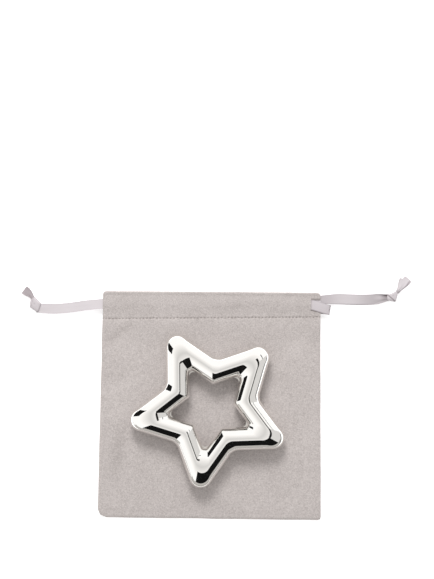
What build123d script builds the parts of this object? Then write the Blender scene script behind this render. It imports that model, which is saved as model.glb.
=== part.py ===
# Drawstring gift pouch in imitation suede, lying flat, with a hollow metal star rattle on top of it.
#
# Millimetres. +Z is up, +Y points to the mouth of the pouch, +X to its right-hand side. The origin is on
# the table, under the middle of the pouch. The pouch is sewn from a front and a back panel. Each panel's
# top edge is folded in and sewn down as a casing. Two ribbons run through both casings in opposite
# directions: each one is a hairpin whose turn wraps round the far ends of the two hems, and whose ends
# are knotted together outside the near ends.
from build123d import *
import os
from math import cos, hypot, pi, radians, sin, tan

# Pouch
POUCH_WIDTH = 115.4
POUCH_HEIGHT = 119.8
SUEDE = 0.55  # thickness of one layer of the cloth
SEAM_ALLOWANCE = 3.5  # cloth turned inwards at the sides and the bottom
CORNER_ROUND = 2.0
CASING_SPARE = 3.5  # how much deeper the casing is than the two ribbons side by side, down to the stitches
SEW_MARGIN = 0.8  # between the row of stitches and the tunnel
HEM_TAIL = 1.0  # hem cloth below the row of stitches
TUNNEL = 0.9  # height of the tunnel inside a casing
MOUTH = 0.3  # gap between the two hems
RAMP = 6.5  # length over which the front panel climbs onto the casing
HEM_RECESS = 2.7  # the hems stop short of the panel sides by this much
SLIT_REACH = 5.0  # the ribbon slit's length, in from the right-hand edge of the front casing
SLIT_SPARE = 1.2  # how much wider the slit is than the ribbon

# Ribbon
RIBBON_WIDTH = 5.2
RIBBON = 0.25  # thickness
RIBBON_GAP = 0.2  # between the two ribbons in one tunnel
LANE_GAP = 0.4  # between the two ribbons, side by side, where they leave on the right
LANE_EDGE = 0.3  # between a ribbon and the narrow side of the tunnel
LEFT_SLACK = 5.2  # how far the left ribbon's turn stands out past the right-hand edge
RIGHT_SLACK = 1.0  # how far the right ribbon's turn stands out past the left-hand edge
KNOT_LENGTH = 6.0
KNOT_WIDTH = 8.4
KNOT_HEIGHT = 2.8
KNOT_ROUND = 1.2
KNOT_LIFT = 0.1  # from the table
TAIL_LENGTH = 8.0

# Thread
THREAD = 0.3
STITCH_PITCH = 1.8
STITCH_LENGTH = 1.25
SEAM_PITCH = 2.6
SEAM_INSET = 1.4  # from the edge of the pouch in to the thread of the seam

# Star
STAR_TIP_CENTRE = 36.1  # from the star's centre to the middle of a rounded tip
STAR_TIP_ROUND = 6.0
STAR_TIP_ANGLE = 27.7  # between an arm's middle line and its flank
STAR_TUBE_WIDTH = 12.0
STAR_TUBE_HEIGHT = 12.0
STAR_VALLEY_ROUND = 6.3
HOLE_TIP_ROUND = 2.2
HOLE_VALLEY_ROUND = 3.0
STAR_WALL = 0.6
STAR_TURN = 46.2  # direction of the first tip, counted from +X
STAR_PLACE = (-0.2, -1.0)
STAR_GAP = 0.3  # clearance between the star and the cloth
SOLDER = 0.1  # thickness of the solder between the star's two shells
BEAD_RADIUS = 2.0
BEAD_GAP = 0.25
BEAD_ARMS = (0, 2, 3)  # the arms that hold a bead, counted from the first tip

ARC_SHARE = 0.45  # of the shorter run that a bend of a ribbon may use

half_width = POUCH_WIDTH / 2
half_height = POUCH_HEIGHT / 2
edge_of_hem = half_width - HEM_RECESS

# Heights of the layers, from the table up: first in the body of the pouch, then in the casings.
body_top = 4 * SUEDE
body_middle = 2 * SUEDE
back_tunnel_top = SUEDE + TUNNEL
back_hem_top = back_tunnel_top + SUEDE
front_hem_bottom = back_hem_top + MOUTH
casing_middle = back_hem_top + MOUTH / 2
front_tunnel_bottom = front_hem_bottom + SUEDE
front_tunnel_top = front_tunnel_bottom + TUNNEL
casing_top = front_tunnel_top + SUEDE
stitch_top = front_hem_bottom + 2 * SUEDE

# Places along Y, from the body up to the top fold.
stitch_y = half_height - 2 * RIBBON_WIDTH - CASING_SPARE
hem_y = stitch_y - HEM_TAIL
ramp_y = hem_y - RAMP
tunnel_low_y = stitch_y + SEW_MARGIN
tunnel_high_y = half_height - SUEDE
tunnel_y = (tunnel_low_y + tunnel_high_y) / 2
taper_y = tunnel_low_y + TUNNEL
slit_width = RIBBON_WIDTH + SLIT_SPARE

# The left ribbon runs outside the right one. It is nearer to the outer layer of each casing.
ribbon_clear = (TUNNEL - 2 * RIBBON - RIBBON_GAP) / 2
left_low_z = SUEDE + ribbon_clear + RIBBON / 2
left_high_z = front_tunnel_top - ribbon_clear - RIBBON / 2
right_low_z = left_low_z + RIBBON + RIBBON_GAP
right_high_z = left_high_z - RIBBON - RIBBON_GAP
left_lane_y = taper_y + LANE_EDGE + RIBBON_WIDTH / 2
right_lane_y = left_lane_y + RIBBON_WIDTH + LANE_GAP


def side_profile(points):
    """A closed outline of (y, z) points, as a face that looks along X."""
    return make_face(Plane.YZ * Polyline(*points, close=True))


def across(face, low_x, high_x):
    """The face drawn by side_profile, stretched from low_x to high_x."""
    return Pos(low_x, 0, 0) * extrude(face, high_x - low_x, dir=(1, 0, 0))


def block(low, high):
    """A box between two corners."""
    size = [b - a for a, b in zip(low, high)]
    return Pos(*low) * Box(*size, align=(Align.MIN,) * 3)


def rounded_plan():
    """The outline of the pouch, seen from above, as a tall block."""
    return extrude(RectangleRounded(POUCH_WIDTH, POUCH_HEIGHT, CORNER_ROUND), 2 * casing_top)


def tunnel(low_z, high_z, outer_z):
    """The space for the ribbons in a casing. It narrows towards outer_z at the row of stitches."""
    inner_z = low_z if outer_z == high_z else high_z
    points = [
        (tunnel_low_y, inner_z),
        (tunnel_high_y, inner_z),
        (tunnel_high_y, outer_z),
        (taper_y, outer_z),
    ]
    return across(side_profile(points), -half_width, half_width)


def front_panel():
    """The front panel: outer layer, turned-in seam allowances, top fold and hem."""
    bottom_y = -half_height
    whole = [
        (bottom_y, body_middle),
        (ramp_y, body_middle),
        (hem_y, casing_middle),
        (half_height, casing_middle),
        (half_height, casing_top - SUEDE),
        (half_height - SUEDE, casing_top),
        (taper_y, casing_top),
        (stitch_y, stitch_top),
        (hem_y, stitch_top),
        (ramp_y, body_top),
        (bottom_y, body_top),
    ]
    inside = [
        (bottom_y + SEAM_ALLOWANCE, 0),
        (half_height, 0),
        (half_height, front_hem_bottom),
        (hem_y, front_hem_bottom),
        (hem_y, front_hem_bottom + SUEDE),
        (ramp_y, body_top - SUEDE),
        (bottom_y + SEAM_ALLOWANCE, body_top - SUEDE),
    ]
    panel = across(side_profile(whole), -half_width, half_width) & rounded_plan()
    room = half_width - SEAM_ALLOWANCE
    panel -= across(side_profile(inside), -room, room)
    panel -= block((-half_width, tunnel_low_y, 0), (half_width, half_height, front_hem_bottom))
    panel -= tunnel(front_tunnel_bottom, front_tunnel_top, front_tunnel_top)
    panel -= hem_ends(front_hem_bottom, front_tunnel_bottom)
    slit = block(
        (half_width - SLIT_REACH, tunnel_y - slit_width / 2, front_tunnel_bottom),
        (half_width, tunnel_y + slit_width / 2, casing_top),
    )
    return panel - slit


def back_panel():
    """The back panel, which lies flat on the table, with its seam allowances, top fold and hem."""
    bottom_y = -half_height
    whole = [
        (bottom_y, 0),
        (half_height, 0),
        (half_height, casing_middle),
        (hem_y, casing_middle),
        (ramp_y, body_middle),
        (bottom_y, body_middle),
    ]
    inside = [
        (bottom_y + SEAM_ALLOWANCE, SUEDE),
        (hem_y, SUEDE),
        (hem_y, 2 * SUEDE),
        (stitch_y, 2 * SUEDE),
        (taper_y, back_hem_top),
        (half_height, back_hem_top),
        (half_height, casing_top),
        (bottom_y + SEAM_ALLOWANCE, casing_top),
    ]
    panel = across(side_profile(whole), -half_width, half_width) & rounded_plan()
    room = half_width - SEAM_ALLOWANCE
    panel -= across(side_profile(inside), -room, room)
    panel -= block((-half_width, tunnel_low_y, back_hem_top), (half_width, half_height, casing_top))
    panel -= tunnel(SUEDE, back_tunnel_top, SUEDE)
    return panel - hem_ends(back_tunnel_top, back_hem_top)


def hem_ends(low_z, high_z):
    """The cloth that is missing at both ends of a hem, which leaves room for the ribbons to turn."""
    return Part() + [
        block((x, tunnel_low_y, low_z), (x + HEM_RECESS, half_height - SUEDE, high_z))
        for x in (-half_width, edge_of_hem)
    ]


def stitch_row(z):
    """A row of lock stitches along the bottom of a casing, half sunk in the cloth."""
    count = int((POUCH_WIDTH - 2 * CORNER_ROUND) // STITCH_PITCH)
    first = -(count - 1) * STITCH_PITCH / 2
    stitch = Box(STITCH_LENGTH, THREAD, THREAD)
    return [Pos(first + i * STITCH_PITCH, stitch_y, z) * stitch for i in range(count)]


def seam_row(start, end):
    """Stitches that hold two seam allowances together, from one (x, y) place to another."""
    length = hypot(end[0] - start[0], end[1] - start[1])
    count = int(length // SEAM_PITCH) + 1
    pin = Cylinder(THREAD / 2, 2 * SUEDE)
    places = [
        [a + (b - a) * i / (count - 1) for a, b in zip(start, end)] for i in range(count)
    ]
    return [Pos(x, y, body_middle) * pin for x, y in places]


def bend_radii(points):
    """The radius of each bend of a route: as large as the two runs beside it allow."""
    radii = []
    for a, b, c in zip(points, points[1:], points[2:]):
        into, out = Vector(*b) - Vector(*a), Vector(*c) - Vector(*b)
        turn = radians(into.get_angle(out))
        radii.append(ARC_SHARE * min(into.length, out.length) / tan(turn / 2))
    return radii


def without_straight_points(points):
    """The points of a flat route, less those in line with their neighbours."""
    kept = [points[0]]
    for b, c in zip(points[1:], points[2:]):
        a = kept[-1]
        if abs((b[0] - a[0]) * (c[1] - b[1]) - (b[1] - a[1]) * (c[0] - b[0])) > 1e-6:
            kept.append(b)
    return kept + [points[-1]]


def band(points, width, plane):
    """A strip of that width along a flat route of straight runs and arcs."""
    points = without_straight_points(points)
    if len(points) == 2:
        return plane * trace(Line(*points), width)
    return plane * trace(FilletPolyline(*points, radius=bend_radii(points)), width)


def rise(face):
    """A plan face made a tall block."""
    return extrude(face, 2 * casing_top, dir=(0, 0, 1))


def go_back(face):
    """A face seen along Y made a block that is as long as the pouch is high."""
    return extrude(face, POUCH_HEIGHT, dir=(0, 1, 0))


def ribbon(name, route):
    """A flat ribbon along (x, y, z) points. It keeps its width seen from above."""
    above = band([(x, y) for x, y, z in route], RIBBON_WIDTH, Plane.XY)
    beside = band([(x, z) for x, y, z in route], RIBBON, Plane.XZ)
    print(name, "bend radii", [round(r, 1) for r in bend_radii(route)])
    return rise(above) & go_back(beside)


def hairpin(plan_route, start_x, end_x, low_z, high_z):
    """A ribbon that runs through one casing, turns round at end_x and comes back through the other."""
    way = 1 if end_x > start_x else -1
    middle_z = (low_z + high_z) / 2
    outer = (high_z - low_z + RIBBON) / 2
    turn_x = end_x - way * outer

    def stadium(radius):
        box_part = Pos((start_x + turn_x) / 2, middle_z) * Rectangle(abs(turn_x - start_x), 2 * radius)
        return box_part + Pos(turn_x, middle_z) * Circle(radius)

    beside = Plane.XZ * (stadium(outer) - stadium(outer - RIBBON))
    above = band(plan_route, RIBBON_WIDTH, Plane.XY)
    return rise(above) & go_back(beside)


def knot(place, turn):
    """The two ends of a ribbon tied in an overhand knot."""
    shape = Box(KNOT_LENGTH, KNOT_WIDTH, KNOT_HEIGHT)
    shape = fillet(shape.edges(), KNOT_ROUND)
    return Pos(*place, knot_z) * Rot(0, 0, turn) * shape


def tails(place, turn):
    """The two cut ends of a ribbon, which stand out of its knot one above the other."""
    shape = Box(TAIL_LENGTH, RIBBON_WIDTH, RIBBON, align=(Align.MIN, Align.CENTER, Align.CENTER))
    return [
        Pos(*place, knot_z + side * TAIL_STEP / 2) * Rot(0, 0, turn + side * TAIL_SPREAD / 2) * shape
        for side in (1, -1)
    ]


# Routes of the ribbons seen from above, inside the casings.
left_plan = [
    (-half_width, tunnel_y - 0.1),
    (-30, tunnel_y - 1.2),
    (10, left_lane_y + 0.1),
    (half_width + 2 * LEFT_SLACK, left_lane_y),
]
right_plan = [
    (half_width, right_lane_y),
    (10, right_lane_y - 0.1),
    (-30, tunnel_y + 1.2),
    (-half_width - 4 * RIGHT_SLACK, tunnel_y + 0.1),
]

# Routes of the free ends, from the casing to the knot. Each point is (x, y, z).
exit_y = tunnel_y - 0.075
LEFT_UPPER = [
    (-half_width, tunnel_y - 0.1, left_high_z),
    (-half_width - 6.3, exit_y - 0.5, 3.15),
    (-half_width - 13.3, exit_y - 1.6, 1.60),
    (-half_width - 20.3, exit_y - 2.4, 0.85),
    (-half_width - 26.8, exit_y - 2.6, 0.75),
    (-half_width - 33.3, exit_y - 2.0, 1.20),
]
LEFT_LOWER = [
    (-half_width, tunnel_y - 0.1, left_low_z),
    (-half_width - 6.3, exit_y - 0.7, 0.62),
    (-half_width - 13.3, exit_y - 1.9, 0.40),
    (-half_width - 20.3, exit_y - 2.7, 0.35),
    (-half_width - 26.8, exit_y - 2.9, 0.40),
    (-half_width - 33.3, exit_y - 2.2, 0.85),
]
RIGHT_UPPER = [
    (half_width, right_lane_y, right_high_z),
    (half_width + 7.8, exit_y + 3.0, 2.80),
    (half_width + 14.8, exit_y + 2.5, 1.65),
    (half_width + 22.3, exit_y + 2.3, 0.90),
    (half_width + 29.3, exit_y + 2.6, 0.80),
    (half_width + 36.3, exit_y + 3.5, 1.25),
]
RIGHT_LOWER = [
    (half_width, right_lane_y, right_low_z),
    (half_width + 7.8, exit_y + 2.8, 0.85),
    (half_width + 14.8, exit_y + 2.2, 0.45),
    (half_width + 22.3, exit_y + 2.0, 0.35),
    (half_width + 29.3, exit_y + 2.3, 0.42),
    (half_width + 36.3, exit_y + 3.3, 0.90),
]
LEFT_KNOT_PLACE = (-half_width - 33.9, exit_y - 0.6)
LEFT_KNOT_TURN = -38
LEFT_TAIL_START = (-half_width - 34.9, exit_y + 2.0)
LEFT_TAIL_TURN = 131
RIGHT_KNOT_PLACE = (half_width + 38.1, exit_y + 3.8)
RIGHT_KNOT_TURN = 36
RIGHT_TAIL_START = (half_width + 39.6, exit_y + 6.0)
RIGHT_TAIL_TURN = 56
TAIL_SPREAD = 7  # degrees between a knot's two tails
TAIL_STEP = 0.5  # between the heights of a knot's two tails
knot_z = KNOT_HEIGHT / 2 + KNOT_LIFT


# Star: each quarter-turn of the outline is matched to the hole's outline by the direction it faces.
def star_stations():
    """Pairs of (outer, inner) points from the middle of a tip to the middle of the next valley.

    They come in three stretches: round the tip, along the flank and round the valley.
    """
    tip = radians(STAR_TIP_ANGLE)
    fifth = pi / 5
    valley = tip + fifth
    outer_tip = STAR_TIP_CENTRE + STAR_TIP_ROUND / sin(tip)
    outer_valley = outer_tip * tan(tip) / (sin(fifth) + tan(tip) * cos(fifth))
    hole_tip = outer_tip - STAR_TUBE_WIDTH / sin(tip)
    hole_valley = outer_valley - STAR_TUBE_WIDTH / sin(valley)
    hole_tip_centre = hole_tip - HOLE_TIP_ROUND / sin(tip)
    valley_centre = outer_valley + STAR_VALLEY_ROUND / sin(valley)
    hole_valley_centre = hole_valley + HOLE_VALLEY_ROUND / sin(valley)

    def at(centre, along, radius, direction):
        return (
            centre * cos(along) + radius * cos(direction),
            centre * sin(along) + radius * sin(direction),
        )

    flank_faces = pi / 2 - tip
    round_tip = [flank_faces * k / 4 for k in range(5)]
    round_valley = [flank_faces + (fifth - flank_faces) * k / 3 for k in range(4)]
    tip_part = [
        (at(STAR_TIP_CENTRE, 0, STAR_TIP_ROUND, a), at(hole_tip_centre, 0, HOLE_TIP_ROUND, a))
        for a in round_tip
    ]
    valley_part = [
        (
            at(valley_centre, fifth, -STAR_VALLEY_ROUND, a),
            at(hole_valley_centre, fifth, -HOLE_VALLEY_ROUND, a),
        )
        for a in round_valley
    ]
    return [tip_part, [tip_part[-1], valley_part[0]], valley_part]


def half_ring(outer, inner, upwards):
    """The section of one shell between an outer and an inner point: half an elliptical ring."""
    (ox, oy), (ix, iy) = outer, inner
    reach = hypot(ox - ix, oy - iy) / 2
    height = STAR_TUBE_HEIGHT / 2
    along = Vector((ox - ix) / 2 / reach, (oy - iy) / 2 / reach, 0)
    middle = Vector((ox + ix) / 2, (oy + iy) / 2, upwards * SOLDER / 2)
    plane = Plane(origin=middle, x_dir=along, z_dir=along.cross(Vector(0, 0, upwards)))
    big = EllipticalCenterArc((0, 0), reach, height, arc_size=180)
    small = EllipticalCenterArc((0, 0), reach - STAR_WALL, height - STAR_WALL, arc_size=180)
    ends = [Line(big @ 0, small @ 0), Line(big @ 1, small @ 1)]
    return plane * make_face([big, small, *ends])


def star_shell(upwards):
    """One half of the star: a stamped shell, open towards the other half, about the star's own middle."""
    parts = [
        loft([half_ring(o, i, upwards) for o, i in stretch], ruled=len(stretch) == 2)
        for stretch in star_stations()
    ]
    half_arm = parts[0] + parts[1:]
    arm = half_arm + mirror(half_arm, Plane.XZ)
    return arm + [Rot(0, 0, 72 * k) * arm for k in range(1, 5)]


def star_solder(shell):
    """The solder between the shells: a thin outer ring and a thin ring round the hole."""
    rims = shell.faces().filter_by(Axis.Z).sort_by(Axis.Z)[:2]
    rings = [extrude(rim, SOLDER, dir=(0, 0, -1)) for rim in rims]
    return sorted(rings, key=lambda ring: ring.bounding_box().size.X)


def bead(arm):
    """A steel bead inside an arm, on the bottom of the hollow, at the tip's end of its straight run."""
    start = bead_run()[0]
    drop = STAR_TUBE_HEIGHT / 2 + SOLDER / 2 - STAR_WALL - BEAD_RADIUS - BEAD_GAP
    return Rot(0, 0, 72 * arm) * Pos(start.X, start.Y, -drop) * Sphere(BEAD_RADIUS)


def bead_run():
    """The middle of an arm's hollow, where its straight stretch starts and where it ends."""
    (o1, i1), (o2, i2) = star_stations()[1]
    return [Vector((o[0] + i[0]) / 2, (o[1] + i[1]) / 2, 0) for o, i in ((o1, i1), (o2, i2))]


star_middle_z = body_top + STAR_GAP + STAR_TUBE_HEIGHT / 2 + SOLDER / 2
star_place = Pos(*STAR_PLACE, star_middle_z) * Rot(0, 0, STAR_TURN)


def star_nodes():
    """Every piece of the star, in its place on the pouch."""
    upper, lower = star_shell(1), star_shell(-1)
    inner_ring, outer_ring = star_solder(upper)
    pieces = {
        "star_upper_shell": upper,
        "star_lower_shell": lower,
        "star_outer_solder": outer_ring,
        "star_hole_solder": inner_ring,
    }
    for number, arm in enumerate(BEAD_ARMS, 1):
        pieces[f"star_bead_{number}"] = bead(arm)
    start, end = bead_run()
    for number, arm in enumerate(BEAD_ARMS, 1):
        way = (end - start).rotate(Axis.Z, STAR_TURN + 72 * arm)
        print(f"bead {number} runs {way.length:.2f} along", [round(v, 4) for v in way.normalized()])
    return {name: star_place * piece for name, piece in pieces.items()}


def pouch_nodes():
    """The sewn pouch."""
    side_x = half_width - SEAM_INSET
    bottom_y = -half_height + SEAM_INSET
    side_top_y = ramp_y - SEAM_PITCH
    corner_x = side_x - SEAM_PITCH
    front_row = stitch_row(stitch_top)
    return {
        "front_panel": front_panel(),
        "back_panel": back_panel(),
        "front_casing_stitches": front_row,
        "back_casing_stitches": stitch_row(THREAD / 2),
        "left_seam_stitches": seam_row((-side_x, bottom_y), (-side_x, side_top_y)),
        "right_seam_stitches": seam_row((side_x, bottom_y), (side_x, side_top_y)),
        "bottom_seam_stitches": seam_row((-corner_x, bottom_y), (corner_x, bottom_y)),
    }


def ribbon_nodes():
    """The two ribbons: the run through the casings, the free ends, the knot and the cut tails."""
    left_tails = tails(LEFT_TAIL_START, LEFT_TAIL_TURN)
    right_tails = tails(RIGHT_TAIL_START, RIGHT_TAIL_TURN)
    return {
        "left_ribbon_run": hairpin(
            left_plan, -half_width, half_width + LEFT_SLACK, left_low_z, left_high_z
        ),
        "left_ribbon_upper_end": ribbon("left upper end", LEFT_UPPER),
        "left_ribbon_lower_end": ribbon("left lower end", LEFT_LOWER),
        "left_knot": knot(LEFT_KNOT_PLACE, LEFT_KNOT_TURN),
        "left_upper_tail": left_tails[0],
        "left_lower_tail": left_tails[1],
        "right_ribbon_run": hairpin(
            right_plan, half_width, -half_width - RIGHT_SLACK, right_low_z, right_high_z
        ),
        "right_ribbon_upper_end": ribbon("right upper end", RIGHT_UPPER),
        "right_ribbon_lower_end": ribbon("right lower end", RIGHT_LOWER),
        "right_knot": knot(RIGHT_KNOT_PLACE, RIGHT_KNOT_TURN),
        "right_upper_tail": right_tails[0],
        "right_lower_tail": right_tails[1],
    }


if __name__ == "__main__":
    os.makedirs("parts", exist_ok=True)
    for name, piece in {**pouch_nodes(), **ribbon_nodes(), **star_nodes()}.items():
        solids = piece if isinstance(piece, list) else piece.solids()
        export_step(Compound(children=list(solids)), f"parts/{name}.step")
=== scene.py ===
# %% [markdown]
# # A drawstring gift pouch with a silver star rattle
#
# The object is a flat pouch of suede cloth. Two satin ribbons close it, and a hollow silver star lies on it.
# The measured model comes first, as a fixed frame. Every piece made here sits where that model says.

# %% The measured model
from math import atan2, ceil, copysign, cos, degrees, exp, hypot, pi, radians, sin, sqrt, tan

import bpy
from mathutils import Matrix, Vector, noise


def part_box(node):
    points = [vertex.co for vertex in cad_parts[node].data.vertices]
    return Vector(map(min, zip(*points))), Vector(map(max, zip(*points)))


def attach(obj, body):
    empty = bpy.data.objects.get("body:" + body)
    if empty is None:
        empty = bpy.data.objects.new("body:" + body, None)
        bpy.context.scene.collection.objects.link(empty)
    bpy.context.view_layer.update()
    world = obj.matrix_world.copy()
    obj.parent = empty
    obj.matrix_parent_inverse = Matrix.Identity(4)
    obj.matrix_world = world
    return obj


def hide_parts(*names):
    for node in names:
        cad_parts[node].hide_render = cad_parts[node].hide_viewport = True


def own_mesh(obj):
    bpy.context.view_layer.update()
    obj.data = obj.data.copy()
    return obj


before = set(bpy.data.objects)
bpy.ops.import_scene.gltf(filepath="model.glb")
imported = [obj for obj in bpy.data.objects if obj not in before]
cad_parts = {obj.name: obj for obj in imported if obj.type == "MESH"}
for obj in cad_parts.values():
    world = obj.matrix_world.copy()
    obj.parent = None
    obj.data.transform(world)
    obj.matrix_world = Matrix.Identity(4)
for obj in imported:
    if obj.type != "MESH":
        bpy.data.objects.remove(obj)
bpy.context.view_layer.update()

MM = 0.001

# %% [markdown]
# ## The camera
#
# A flat object shows its true outline from straight above and from far away, and a long lens brings it near
# again. The camera looks down its own -Z, so without any turn it already looks at the table.

# %% The camera
CAMERA_HEIGHT = 2.5
VIEW_CENTRE = (0.00341, 0.06058)
VIEW_HEIGHT = 0.3034  # how much of the table the tall side of the picture takes in
SENSOR = 36.0
bpy.ops.object.select_all(action="DESELECT")
bpy.ops.object.camera_add(location=(*VIEW_CENTRE, CAMERA_HEIGHT), rotation=(0, 0, 0))
camera = bpy.context.object
camera.name = "overhead_camera"
camera.data.sensor_width = SENSOR
camera.data.lens = SENSOR * CAMERA_HEIGHT / VIEW_HEIGHT
bpy.context.scene.camera = camera
print("lens in mm", round(camera.data.lens, 1))

# %% [markdown]
# ## The table and the daylight
#
# The table is a plain white sheet. An even white surrounding gives most of the light, and one broad lamp
# beyond the mouth of the pouch gives the soft shadows that fall to the front.

# %% The table and the daylight
TABLE_SIZE = 6
TABLE_Z = -0.05 * MM  # just under the pouch
bpy.ops.object.select_all(action="DESELECT")
bpy.ops.mesh.primitive_plane_add(size=TABLE_SIZE, location=(0, 0, TABLE_Z))
table = bpy.context.object
table.name = "white_table"

DAYLIGHT = 0.60
world = bpy.data.worlds.new("even_white")
world.use_nodes = True
background = world.node_tree.nodes["Background"]
background.inputs["Color"].default_value = (1.0, 0.995, 0.99, 1)
background.inputs["Strength"].default_value = DAYLIGHT
bpy.context.scene.world = world
bpy.context.scene.view_settings.view_transform = "Standard"
bpy.context.scene.view_settings.look = "None"


def lamp(name, place, size, watts):
    """A square lamp that looks at the pouch and doesn't show in the silver."""
    bpy.ops.object.select_all(action="DESELECT")
    bpy.ops.object.light_add(type="AREA", location=place)
    light = bpy.context.object
    light.name = name
    light.data.size = size
    light.data.energy = watts
    light.rotation_euler = (-Vector(place)).to_track_quat("-Z", "Y").to_euler()
    light.visible_glossy = False


lamp("key_lamp", (-0.12, 0.85, 0.85), 0.40, 8.5)

# %% [markdown]
# ## Writing finishes as sums
#
# A finish is a tree of nodes. To keep it readable, a socket is wrapped in a small class whose plus, minus
# and times add the Math nodes. Every other node comes from one method.


# %% Writing finishes as sums
class Wire:
    """A socket that can be used in sums."""

    def __init__(self, socket):
        self.socket = socket

    def math(self, operation, *values):
        """Adds a Math node that works on the values given."""
        tree = self.socket.id_data
        node = tree.nodes.new("ShaderNodeMath")
        node.operation = operation
        for place, value in zip(node.inputs, values):
            feed(place, value)
        return Wire(node.outputs[0])

    def __add__(self, other):
        return self.math("ADD", self, other)

    __radd__ = __add__

    def __sub__(self, other):
        return self.math("SUBTRACT", self, other)

    def __rsub__(self, other):
        return self.math("SUBTRACT", other, self)

    def __mul__(self, other):
        return self.math("MULTIPLY", self, other)

    __rmul__ = __mul__

    def limited(self):
        """Kept between 0 and 1."""
        return self.math("MINIMUM", self.math("MAXIMUM", self, 0.0), 1.0)


def feed(socket, value):
    """Links a wire to a socket, or writes a value into it."""
    if isinstance(value, Wire):
        socket.id_data.links.new(value.socket, socket)
    else:
        socket.default_value = value


class Finish:
    """A material with its tree of nodes."""

    def __init__(self, name):
        self.material = bpy.data.materials.new(name)
        self.material.use_nodes = True
        self.tree = self.material.node_tree
        self.shader = self.tree.nodes["Principled BSDF"]

    def node(self, kind, settings, values, out=0):
        """Adds a node: its settings first, then its sockets."""
        node = self.tree.nodes.new(kind)
        for name, value in settings.items():
            setattr(node, name, value)
        for name, value in values.items():
            feed(node.inputs[name], value)
        return Wire(node.outputs[out])

    def place(self):
        """Where a point is on the object, in metres."""
        return self.node("ShaderNodeTexCoord", {}, {}, "Object")

    def unwrapped(self):
        """Where a point is on the piece's own UV map."""
        return self.node("ShaderNodeTexCoord", {}, {}, "UV")

    def written(self, name):
        """A value that the piece's points carry under that name."""
        return self.node("ShaderNodeAttribute", {"attribute_name": name}, {}, "Fac")

    def grain(self, where, size, detail=2.0, roughness=0.5):
        """Cloudy noise with features of that size in metres, from 0 to 1."""
        values = {"Vector": where, "Scale": 1 / size, "Detail": detail, "Roughness": roughness}
        return self.node("ShaderNodeTexNoise", {}, values, "Fac")

    def mix(self, factor, first, second):
        """A colour between two colours."""
        return self.node("ShaderNodeMix", {"data_type": "RGBA"}, {0: factor, 6: first, 7: second}, 2)

    def bump(self, height, depth, strength=1.0):
        """Small relief, with its full height in metres."""
        values = {"Height": height, "Distance": depth, "Strength": strength}
        return self.node("ShaderNodeBump", {}, values, "Normal")

    def set(self, **values):
        """Sets sockets of the shader; an underscore stands for a space."""
        for name, value in values.items():
            feed(self.shader.inputs[name.replace("_", " ")], value)
        return self.material


def shade(red, green, blue, times=1.0):
    """A colour given as a paint chip's 0 to 255 values, as linear light."""
    def linear(channel):
        level = channel / 255
        return level / 12.92 if level <= 0.04045 else ((level + 0.055) / 1.055) ** 2.4

    return tuple(linear(channel) * times for channel in (red, green, blue)) + (1.0,)


# %% [markdown]
# ## What the silver sees
#
# Polished silver has no look of its own: it shows the room. A studio hangs white sheets all round and leaves
# a dark gap towards the camera operator, which draws the crisp black bands. Each sheet here is a patch of a
# large sphere, given by its angle from straight up and its direction round. Only reflections see it.

# %% What the silver sees
SHEET_RADIUS = 1.4
LAYER_GAP = 0.02  # from one layer of sheets in to the next
DIM_ANGLE = radians(36)  # how far from straight overhead a dimmer middle reaches


def sheet_material(name, level, warmth, middle=None):
    """A glow. If middle is given, the glow changes to that level straight overhead."""
    def glow(amount):
        return (amount, amount * (1 - warmth / 2), amount * (1 - warmth), 1)

    finish = Finish(name)
    colour = glow(level)
    if middle is not None:
        flat = finish.node("ShaderNodeMapping", {}, {"Vector": finish.place(), "Scale": (1, 1, 0)})
        far = finish.node("ShaderNodeVectorMath", {"operation": "LENGTH"}, {0: flat}, "Value")
        share = (far * (1 / (SHEET_RADIUS * sin(DIM_ANGLE)))).limited()
        colour = finish.mix(share, glow(middle), glow(level))
    finish.set(Base_Color=(0, 0, 0, 1), Specular_IOR_Level=0)
    return finish.set(Emission_Color=colour, Emission_Strength=1)


def only_reflected(piece):
    """Keeps a sheet out of everything but reflections."""
    piece.visible_camera = False
    piece.visible_diffuse = False
    piece.visible_shadow = False


def studio_sheet(name, level, down, round_from, round_to, layer=0, warmth=0.0, middle=None):
    """A patch of the sphere between two angles from straight up (down) and two directions, in degrees.

    A sheet of a higher layer hangs nearer and hides what is behind it."""
    bpy.ops.object.select_all(action="DESELECT")
    radius = SHEET_RADIUS - LAYER_GAP * layer
    bpy.ops.mesh.primitive_uv_sphere_add(segments=180, ring_count=90, radius=radius)
    patch = bpy.context.object
    patch.name = name
    bpy.ops.object.mode_set(mode="EDIT")
    bpy.ops.mesh.select_mode(type="FACE")
    bpy.ops.mesh.select_all(action="DESELECT")
    bpy.ops.object.mode_set(mode="OBJECT")
    for face in patch.data.polygons:
        x, y, z = face.center
        angle_down = degrees(atan2(hypot(x, y), z))
        angle_round = (degrees(atan2(y, x)) - round_from) % 360
        face.select = not (down[0] < angle_down < down[1] and angle_round < round_to - round_from)
    bpy.ops.object.mode_set(mode="EDIT")
    bpy.ops.mesh.delete(type="FACE")
    bpy.ops.mesh.select_mode(type="VERT")
    bpy.ops.object.mode_set(mode="OBJECT")
    patch.data.materials.append(sheet_material(name, level, warmth, middle))
    only_reflected(patch)


studio_sheet("white_surround", 1.05, (0, 88), 0, 360)
studio_sheet("overhead", 1.05, (-1, 37), 0, 360, layer=1, warmth=0.03, middle=0.68)
studio_sheet("right_side", 0.71, (24, 88), -36, 22, layer=2, warmth=0.03)
studio_sheet("front_gap", 0.007, (20, 71), -120, -36, layer=8)
studio_sheet("front_low_wall", 0.50, (71, 89), -150, -20, layer=7, warmth=0.08)
studio_sheet("right_joint", 0.01, (18, 25), -36, 46, layer=8)
studio_sheet("right_far_joint", 0.06, (43, 48), 22, 46, layer=8)
studio_sheet("right_low_gap", 0.05, (80, 87), -34, 12, layer=8)

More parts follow.
